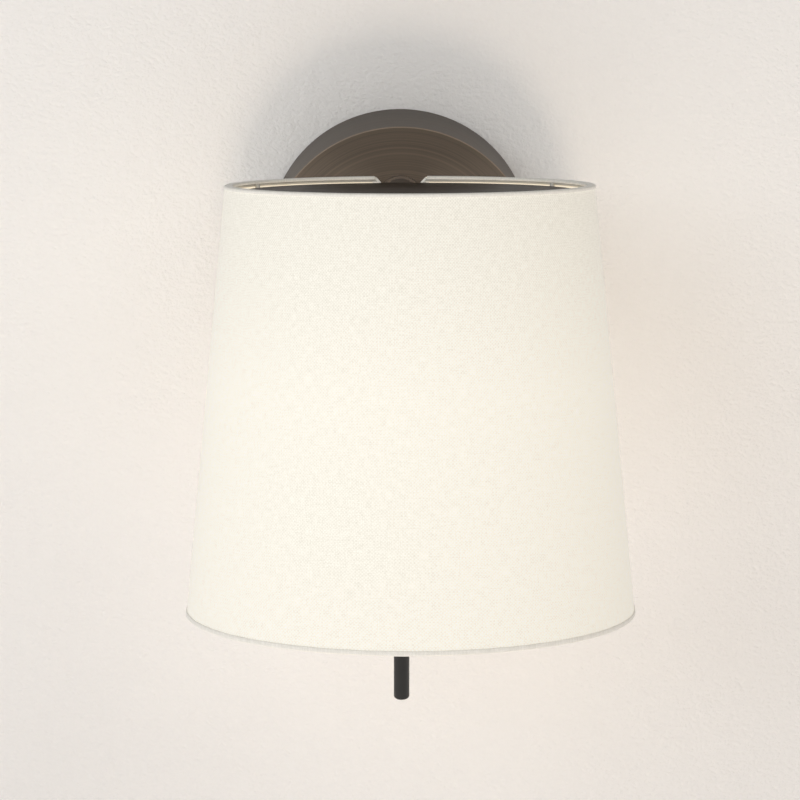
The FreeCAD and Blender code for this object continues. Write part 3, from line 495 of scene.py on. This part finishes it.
def make_paint(name, dark, light, roughness, metallic=0.0, coat=0.0, specular=0.5):
    """Paint, plating or moulded plastic: clouds of tone, fine grain, and thin shiny scratches."""
    grain_share, cloud_share, scratch_shine = 0.3, 0.7, 0.04
    uneven_gloss = 0.14
    material, tree, shader = new_material(name)
    marks = placed(tree, MOTTLE, Place=texture_point(tree))
    clouds = math_node(tree, "MULTIPLY", marks["Clouds"], cloud_share)
    tone = math_node(tree, "MULTIPLY_ADD", marks["Grain"], grain_share, clouds)
    tree.links.new(ramp(tree, tone, [(0.32, dark), (0.68, light)]), shader.inputs["Base Color"])
    low = roughness - uneven_gloss / 2
    rough = math_node(tree, "MULTIPLY_ADD", marks["Clouds"], uneven_gloss, low)
    shine = math_node(tree, "MULTIPLY", marks["Scratches"], scratch_shine)
    tree.links.new(math_node(tree, "SUBTRACT", rough, shine), shader.inputs["Roughness"])
    tree.links.new(bump(tree, marks["Grain"], 0.01 * MM, 0.6), shader.inputs["Normal"])
    settings(shader, Metallic=metallic, Coat_Weight=coat, Specular_IOR_Level=specular)
    return material


def make_lining():
    """Stiff cream sheet behind the cloth, lit by the bulb: fine grain and an even warm glow."""
    material, tree, shader = new_material("stiff_lining")
    marks = placed(tree, MOTTLE, Place=texture_point(tree), Cloud_size=60.0, Grain_size=1500.0)
    colour = ramp(tree, marks["Grain"], [(0.3, (0.74, 0.70, 0.62)), (0.7, (0.80, 0.765, 0.68))])
    tree.links.new(colour, shader.inputs["Base Color"])
    glow = ramp(tree, marks["Clouds"], [(0.3, (1.0, 0.87, 0.66)), (0.7, (1.0, 0.90, 0.72))])
    tree.links.new(glow, shader.inputs["Emission Color"])
    tree.links.new(bump(tree, marks["Grain"], 0.02 * MM, 0.5), shader.inputs["Normal"])
    settings(shader, Roughness=0.6, Emission_Strength=0.52)
    return material


def make_opal():
    """Opal glass of a lit bulb: milky, satin, with a warm glow that is uneven like blown glass."""
    material, tree, shader = new_material("opal_glass")
    marks = placed(tree, MOTTLE, Place=texture_point(tree), Cloud_size=40.0, Grain_size=900.0)
    colour = ramp(tree, marks["Clouds"], [(0.3, (0.86, 0.85, 0.80)), (0.7, (0.93, 0.92, 0.88))])
    tree.links.new(colour, shader.inputs["Base Color"])
    glow = ramp(tree, marks["Clouds"], [(0.3, (1.0, 0.84, 0.64)), (0.7, (1.0, 0.88, 0.70))])
    tree.links.new(glow, shader.inputs["Emission Color"])
    settings(shader, Roughness=0.35, Emission_Strength=0.8, Coat_Weight=0.3)
    return material


CLOTH_FINISH = make_cloth(
    "linen_cloth", light=(0.71, 0.70, 0.655), dark=(0.475, 0.472, 0.43), pitch=0.78 * MM,
    glow=0.45, glow_colour=(1.0, 0.94, 0.81),
    fade=[(0.0, 0.80), (0.12, 0.85), (0.45, 1.0), (0.78, 0.98), (1.0, 0.96)])
TAPE_FINISH = make_cloth(
    "hem_tape", light=(0.84, 0.82, 0.775), dark=(0.66, 0.64, 0.595), pitch=0.36 * MM,
    glow=0.15, glow_colour=(1.0, 0.94, 0.83))
FINISHES = {
    # painted light: this bronze, for the arm and the other bronze parts, is a lighter copy of the plate's
    # own, lifting the shade they lie in under the shade's rim
    "bronze": make_bronze(
        "arm_bronze_painted_lighter", ARM_HEIGHT,
        tones=((0.09, 0.076, 0.066), (0.135, 0.111, 0.093), (0.20, 0.16, 0.13)),
        haze=(0.112, 0.096, 0.085)),
    "dark_paint": make_paint(
        "near_black_paint", (0.020, 0.018, 0.016), (0.036, 0.033, 0.030), 0.46),
    "zinc_steel": make_paint("zinc_plate", (0.42, 0.43, 0.44), (0.60, 0.60, 0.60), 0.38, metallic=1.0),
    "brass": make_paint("brass", (0.60, 0.43, 0.19), (0.74, 0.56, 0.28), 0.32, metallic=1.0),
    "pale_plastic": make_paint("pale_plastic", (0.70, 0.69, 0.64), (0.80, 0.79, 0.74), 0.5),
    "black_plastic": make_paint(
        "black_plastic", (0.018, 0.018, 0.018), (0.032, 0.032, 0.033), 0.35),
    "ceramic": make_paint(
        "white_ceramic", (0.76, 0.75, 0.71), (0.84, 0.83, 0.79), 0.25, coat=0.6),
    "bulb_metal": make_paint(
        "bulb_cap_metal", (0.55, 0.55, 0.55), (0.68, 0.68, 0.67), 0.34, metallic=1.0),
    "opal_glass": make_opal(),
    "shade_fabric": CLOTH_FINISH,
    "lining": make_lining(),
    "hem": TAPE_FINISH,
    "white_wire": make_paint(
        "lacquered_wire", (0.44, 0.43, 0.41), (0.56, 0.55, 0.52), 0.4, metallic=0.3),
}
OWN_FINISH = {            # nodes whose finish isn't their slot's common one
    "top_disc": make_paint(
        "dark_brown_paint", (0.018, 0.014, 0.010), (0.028, 0.021, 0.016), 0.40, specular=0.05),
    "pull_rod": make_paint("rod_paint", (0.010, 0.009, 0.009), (0.016, 0.015, 0.014), 0.46),
    "canopy": make_bronze(
        "plate_bronze", 0.0,
        tones=((0.066, 0.056, 0.047), (0.106, 0.085, 0.067), (0.166, 0.127, 0.097)),
        haze=(0.085, 0.074, 0.064)),
}

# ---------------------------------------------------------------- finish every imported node
for part in frame["record"]["subparts"]:
    finish = OWN_FINISH.get(part["node"], FINISHES[part["material_slot"]])
    for slot in bpy.data.objects[part["node"]].material_slots:
        slot.material = finish


# ---------------------------------------------------------------- shade cloth, tapes and spring
def back_edge_height(x):
    """Height of the cloth's top edge at the back: the rim less a 45 degree flare, or the notch's floor."""
    flare = np.clip(NOTCH_HALF + NOTCH_FLARE - np.abs(x), 0, NOTCH_FLARE)
    return np.where(np.abs(x) < NOTCH_HALF, RIM_Z - NOTCH_DEPTH, RIM_Z - TAPE - flare)


def shade_columns(count, close=0.0003):
    """Turns about the shade's axis, from the lap on, with a close pair at each edge of notch and lap.

    A place x at the back is at the turn whose sine is (x - shift) / rim radius.
    """
    plain = LAP_START + np.linspace(0, FULL_TURN, count, endpoint=False)
    edges = [LAP_START + LAP_WIDTH / SHADE_BOTTOM_RADIUS]
    for x in (NOTCH_HALF, NOTCH_HALF + NOTCH_FLARE):
        edges += [math.asin((side * x - SHADE_SHIFT) / SHADE_TOP_RADIUS) for side in (-1, 1)]
    edges = np.array(edges)
    edges = np.where(edges < LAP_START, edges + FULL_TURN, edges)
    return np.sort(np.concatenate([plain, edges - close, edges + close]))


def make_shade_cloth():
    """The cloth's skin: each turn has a closed line, down the outside and back up the inside.

    A point is round_shade(cone radius at z, turn, z) outside, plus the lap's step where the cloth laps,
    and the same less the cloth's thickness inside. z falls evenly from the top edge to the hem, with
    close rows at both ends. The UV is the turn times the mean radius, and the way up the slant.
    """
    turns = shade_columns(300)
    down = np.concatenate([[0, 0.0015], np.linspace(0.004, 0.996, 44), [0.9985, 1]])
    side = SHADE_SHIFT + SHADE_TOP_RADIUS * np.sin(turns)
    top = np.where(np.cos(turns) > 0, back_edge_height(side), RIM_Z - TAPE)[:, None]
    z = top + (HEM_Z + TAPE - top) * down
    z = np.concatenate([z, z[:, ::-1]], 1)
    inside = np.repeat([False, True], len(down))
    lapped = (turns > LAP_START) & (turns < LAP_START + LAP_WIDTH / SHADE_BOTTOM_RADIUS)
    step = LAP_STEP * lapped[:, None] * ~inside
    grid = round_shade(cone_radius(z) - CLOTH * inside + step, turns[:, None], z)
    around = np.append(turns, turns[0] + FULL_TURN)[:, None]
    up = closed(z)
    up = np.concatenate([up, up[:, :1]], 1)
    mean_radius = (SHADE_TOP_RADIUS + SHADE_BOTTOM_RADIUS) / 2
    uv = np.stack([around * mean_radius + 0 * up, up * SLANT / SHADE_HEIGHT], -1)
    return surface("shade_cloth", leaned(grid), CLOTH_FINISH, (True, True), uv)


def make_hem(name, edge, way, outside, inside, opening):
    """Rolled tape over a wire ring: a channel with rounded corners carried round the shade.

    The section's first number is the distance out from the cone, its second one the way in from the
    edge. A point is round_shade(cone radius at z + first, turn, z), where z is edge + way * second, and
    the free outer lip is a little wavy, by two sines of the turn. The tape stops at the notch, or wraps.
    """
    columns = 330
    ripples, ripple_size, ripple_lag = (37, 61), 0.025 * MM, 1.3
    depth = SHELL + 2 * WIRE_GAP + TAPE + RING_WIRE
    corner = 0.8 * MM
    a = np.linspace(0, math.pi / 2, 7)
    out_arc = np.stack([TAPE - corner + corner * np.cos(a), corner - corner * np.sin(a)], -1)
    in_arc = np.stack([corner - corner * np.sin(a) - depth, corner - corner * np.cos(a)], -1)
    section = np.concatenate([
        [(0.02 * MM, outside), (TAPE * 0.8, outside - 0.02 * MM), (TAPE, outside - 0.25 * MM)],
        out_arc, in_arc,
        [(-depth, inside), (TAPE - depth, inside), (TAPE - depth, TAPE + 0.1 * MM),
         (-SHELL / 2, TAPE), (0.0, TAPE)]])
    if way > 0:
        section = section[::-1]
    if opening:
        half = NOTCH_HALF + NOTCH_FLARE
        start = math.asin((half - SHADE_SHIFT) / SHADE_TOP_RADIUS)
        end = FULL_TURN - math.asin((half + SHADE_SHIFT) / SHADE_TOP_RADIUS)
        turns = np.linspace(start, end, columns)
    else:
        turns = np.linspace(0, FULL_TURN, columns, endpoint=False)
    z = edge + way * section[:, 1]
    wave = np.sin(turns * ripples[0]) + np.sin(turns * ripples[1] + ripple_lag)
    on_lip = section[:, 1] > outside * 0.6
    rippled = z + ripple_size * wave[:, None] * on_lip
    grid = round_shade(cone_radius(z) + section[:, 0], turns[:, None], rippled)
    if not opening:
        turns = np.append(turns, FULL_TURN)
    over = run_length(closed(section))
    uv = np.stack(np.meshgrid(turns * SHADE_TOP_RADIUS, over, indexing="ij"), -1)
    piece = surface(name, leaned(grid), TAPE_FINISH, (not opening, True), uv)
    if opening:
        close_ends(piece, *grid.shape[:2])
    return piece


def rounded_path(corners, bend, steps=6):
    """Straight runs through corners, each corner swapped for a parabola that starts a bend before it.

    With a and b a bend before and after the corner, the parabola is (1 - s)^2 a + 2 s (1 - s) corner
    + s^2 b, for s from 0 to 1.
    """
    corners = np.array(corners, float)
    path = [corners[:1]]
    s = np.linspace(0, 1, steps)[:, None]
    for before, corner, after in zip(corners, corners[1:], corners[2:]):
        a = corner + bend * (before - corner) / np.linalg.norm(before - corner)
        b = corner + bend * (after - corner) / np.linalg.norm(after - corner)
        path.append((1 - s) ** 2 * a + 2 * s * (1 - s) * corner + s ** 2 * b)
    path.append(corners[-1:])
    return np.concatenate(path)


def make_notch_binding():
    """Tape folded over the notch's edge: a channel carried along the notch's outline on the cone.

    The section's first number runs from the edge into the sheet, along the outline's normal in the
    sheet, and its second one outwards. A point's sideways place x and height z are the outline's plus
    the first number along that normal, its turn has the sine (x - shift) / cone radius at z, and it
    stands at that radius plus the second number.
    """
    inset = 0.6 * MM          # keeps the binding's ends under the rim's tape
    low, high = RIM_Z - NOTCH_DEPTH, RIM_Z - inset
    flare_low = RIM_Z - NOTCH_FLARE
    wide = NOTCH_HALF + NOTCH_FLARE - inset
    path = rounded_path([(-wide, high), (-NOTCH_HALF, flare_low), (-NOTCH_HALF, low),
                         (NOTCH_HALF, low), (NOTCH_HALF, flare_low), (wide, high)], 1.0 * MM)
    ahead = np.gradient(path, axis=0)
    ahead /= np.linalg.norm(ahead, axis=1)[:, None]
    into = np.stack([ahead[:, 1], -ahead[:, 0]], -1)
    depth = SHELL + 2 * WIRE_GAP + NOTCH_WIRE + BINDING
    leg = 2.9 * MM
    section = np.array([
        (leg, 0.02 * MM), (leg - 0.1 * MM, BINDING * 0.8), (leg - 0.4 * MM, BINDING),
        (0.1 * MM, BINDING), (-0.15 * MM, BINDING * 0.6), (-BINDING, 0), (-BINDING, -depth / 2),
        (-BINDING, BINDING - depth), (-0.1 * MM, -depth), (leg, -depth), (leg, BINDING - depth),
        (0, BINDING - depth), (0, -SHELL / 2), (0, 0)])
    flat = path[:, None, :] + into[:, None, :] * section[None, :, :1]
    x, z = flat[..., 0], flat[..., 1]
    turn = np.arcsin((x - SHADE_SHIFT) / cone_radius(z))
    grid = round_shade(cone_radius(z) + section[:, 1], turn, z)
    over = run_length(closed(section))
    uv = np.stack(np.meshgrid(run_length(path), over, indexing="ij"), -1)
    piece = surface("notch_binding", leaned(grid), TAPE_FINISH, (False, True), uv)
    close_ends(piece, *grid.shape[:2])
    return piece


def make_coil_spring():
    """The switch's return spring: a round wire wound round the pull rod.

    The middle line is (R cos t, R sin t, rise * t) about the spring's axis, from its lower end up. Each
    ring of the wire stands square to it: the line's point, plus the wire's radius times cos a outwards
    and sin a along the direction square to both the line and the outward one.
    """
    low, high = (np.array(p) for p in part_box("return_spring"))
    axis_x, axis_y = (low[:2] + high[:2]) / 2
    radius = (high[0] - low[0]) / 2 - SPRING_WIRE_RADIUS
    bottom, top = low[2] + SPRING_WIRE_RADIUS, high[2] - SPRING_WIRE_RADIUS
    t = np.linspace(0, FULL_TURN * SPRING_TURNS, 32 * SPRING_TURNS + 1)[:, None]
    a = np.linspace(0, FULL_TURN, 12, endpoint=False)[None, :, None]
    rise = (top - bottom) / t.max()
    out = np.stack([np.cos(t), np.sin(t), 0 * t], -1)
    square = np.stack([rise * np.sin(t), -rise * np.cos(t), radius + 0 * t], -1)
    square /= math.hypot(radius, rise)
    line = radius * out + np.stack([0 * t, 0 * t, rise * t], -1)
    rings = SPRING_WIRE_RADIUS * (np.cos(a) * out + np.sin(a) * square)
    grid = line + rings + np.array([axis_x, axis_y, bottom])
    piece = surface("coil_spring", grid, FINISHES["zinc_steel"], (False, True))
    close_ends(piece, *grid.shape[:2])
    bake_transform(piece)
    return piece


cloth = make_shade_cloth()
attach(cloth, "head")
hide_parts("shade_fabric")
top_tape = make_hem("top_rim_tape", RIM_Z, -1, outside=1.6 * MM, inside=1.5 * MM, opening=True)
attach(top_tape, "head")
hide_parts("top_hem")
low_tape = make_hem("bottom_rim_tape", HEM_Z, 1, outside=2.4 * MM, inside=3.0 * MM, opening=False)
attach(low_tape, "head")
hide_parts("bottom_hem")
binding = make_notch_binding()
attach(binding, "head")
spring = make_coil_spring()
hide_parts("return_spring")


# ---------------------------------------------------------------- stage: wall, floor, light, camera
def looked_at(tree):
    """1 for what the camera sees, straight, in metal or through glass, and 0 for light on its way."""
    rays = tree.nodes.new("ShaderNodeLightPath").outputs
    seen = math_node(tree, "MAXIMUM", rays["Is Camera Ray"], rays["Is Glossy Ray"])
    return math_node(tree, "MAXIMUM", seen, rays["Is Transmission Ray"])


def make_plaster(name, dark, light, glow=0.0):
    """Plaster seen from its front side alone: light, and looks from behind, pass through it."""
    material, tree, shader = new_material(name)
    place = texture_point(tree)
    fine_rate, coarse_rate, coarse_share = (420, 420, 520), (90, 90, 60), 0.8
    tone = ramp(tree, noise(tree, place, 6.0), [(0.3, dark), (0.7, light)])
    tree.links.new(tone, shader.inputs["Base Color"])
    tree.links.new(tone, shader.inputs["Emission Color"])
    fine = noise(tree, stretched(tree, place, fine_rate), 1.0, 4.0, 0.6)
    coarse = noise(tree, stretched(tree, place, coarse_rate), 1.0, 2.0)
    relief = math_node(tree, "MULTIPLY_ADD", coarse, coarse_share, fine)
    tree.links.new(bump(tree, relief, 1.2 * MM, 0.8), shader.inputs["Normal"])
    settings(shader, Roughness=0.85, Specular_IOR_Level=0.1, Emission_Strength=glow)
    clear = tree.nodes.new("ShaderNodeBsdfTransparent")
    behind = tree.nodes.new("ShaderNodeNewGeometry").outputs["Backfacing"]
    unseen = math_node(tree, "SUBTRACT", 1.0, looked_at(tree))
    mix = tree.nodes.new("ShaderNodeMixShader")
    tree.links.new(math_node(tree, "MAXIMUM", unseen, behind), mix.inputs[0])
    tree.links.new(shader.outputs[0], mix.inputs[1])
    tree.links.new(clear.outputs[0], mix.inputs[2])
    tree.links.new(mix.outputs[0], tree.nodes["Material Output"].inputs[0])
    return material


def make_stage():
    """The wall, an upright sheet just behind the plate, and the floor, a level one below the light."""
    wide = np.linspace(-STAGE_HALF, STAGE_HALF, 9)
    x, z = np.meshgrid(wide, np.linspace(STAGE_HALF, FLOOR_Z, 9), indexing="ij")
    wall = surface("wall_backdrop", np.stack([x, WALL_GAP + 0 * x, z], -1),
                   make_plaster("plaster_wall", (0.85, 0.84, 0.83), (0.87, 0.86, 0.85)))
    x, y = np.meshgrid(wide, np.linspace(WALL_GAP, -2 * STAGE_HALF, 9), indexing="ij")
    floor = surface("pale_floor", np.stack([x, y, FLOOR_Z + 0 * x], -1),
                    make_plaster("plaster_floor", (0.80, 0.79, 0.77), (0.83, 0.82, 0.80), glow=0.5))


def make_surroundings():
    """World light: a little warm and pale from level and below, fading to dark above, dimmer behind.

    Each ramp reads one way of the look's direction, from 0 to 1 with 0.5 in the middle.
    """
    world = bpy.data.worlds.new("surroundings")
    bpy.context.scene.world = world
    world.use_nodes = True
    tree = world.node_tree
    ways = parts_of(tree, texture_point(tree, "Generated"))
    up, aside, deep = (math_node(tree, "MULTIPLY_ADD", ways[i], 0.5, 0.5) for i in (2, 0, 1))
    plain = (1.0, 1.0, 1.0)
    light = ramp(tree, up, [(0.5, (1.045, 0.99, 0.95)), (0.8, (0.02, 0.02, 0.02))])
    light = tinted(tree, light, ramp(
        tree, aside, [(0.1, (1.14, 1.15, 1.15)), (0.5, plain), (0.9, (0.88, 0.87, 0.86))]))
    light = tinted(tree, light, ramp(tree, deep, [(0.5, plain), (0.8, (0.7, 0.7, 0.7))]))
    back = tree.nodes["Background"].inputs["Color"]
    tree.links.new(mixed(tree, looked_at(tree), light, SURROUNDINGS), back)


def named_objects(name, members):
    """A collection of objects for a lamp to light or to be blocked by."""
    group = bpy.data.collections.new(name)
    for member in members:
        group.objects.link(bpy.data.objects[member])
    return group


def add_lamp(name, kind, place, power, colour):
    """A lamp at a place: the object and its light."""
    light = bpy.data.lights.new(name, kind)
    light.energy = power
    light.color = colour
    lamp = bpy.data.objects.new(name, light)
    lamp.location = place
    bpy.context.scene.collection.objects.link(lamp)
    return lamp, light


def make_lights():
    """A large soft lamp from each side above, and the bulb's own light on the wall and the plate.

    Only the wall plate blocks the bulb's lamp, because the real light goes through the cloth.
    """
    for name, place, power, colour in LAMPS:
        lamp, light = add_lamp(name, "AREA", place, power, colour)
        light.size = LAMP_SIZE
        lamp.rotation_euler = (LAMP_AIM - Vector(place)).to_track_quat("-Z", "Y").to_euler()
    middle = np.mean(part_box("bulb_globe"), axis=0)
    lamp, light = add_lamp("bulb_lamp", "POINT", middle, BULB_POWER, BULB_COLOUR)
    light.shadow_soft_size = BULB_SOFTNESS
    lamp.light_linking.blocker_collection = named_objects("bulb_light_blockers", ["canopy"])
    lamp.light_linking.receiver_collection = named_objects("bulb_light_receivers", LIT_BY_BULB)


def make_camera():
    """The photograph's camera: a long lens from a little above, with its small shift."""
    data = bpy.data.cameras.new("camera")
    data.lens = CAMERA_LENS
    data.sensor_width = CAMERA_SENSOR
    data.shift_x, data.shift_y = CAMERA_SHIFT
    data.clip_end = CAMERA_REACH
    camera = bpy.data.objects.new("camera", data)
    camera.location = CAMERA_PLACE
    camera.rotation_euler = CAMERA_LOOK.normalized().to_track_quat("-Z", "Y").to_euler()
    bpy.context.scene.collection.objects.link(camera)
    bpy.context.scene.camera = camera


make_stage()
make_surroundings()
make_lights()
make_camera()
bpy.context.scene.view_settings.view_transform = "Standard"
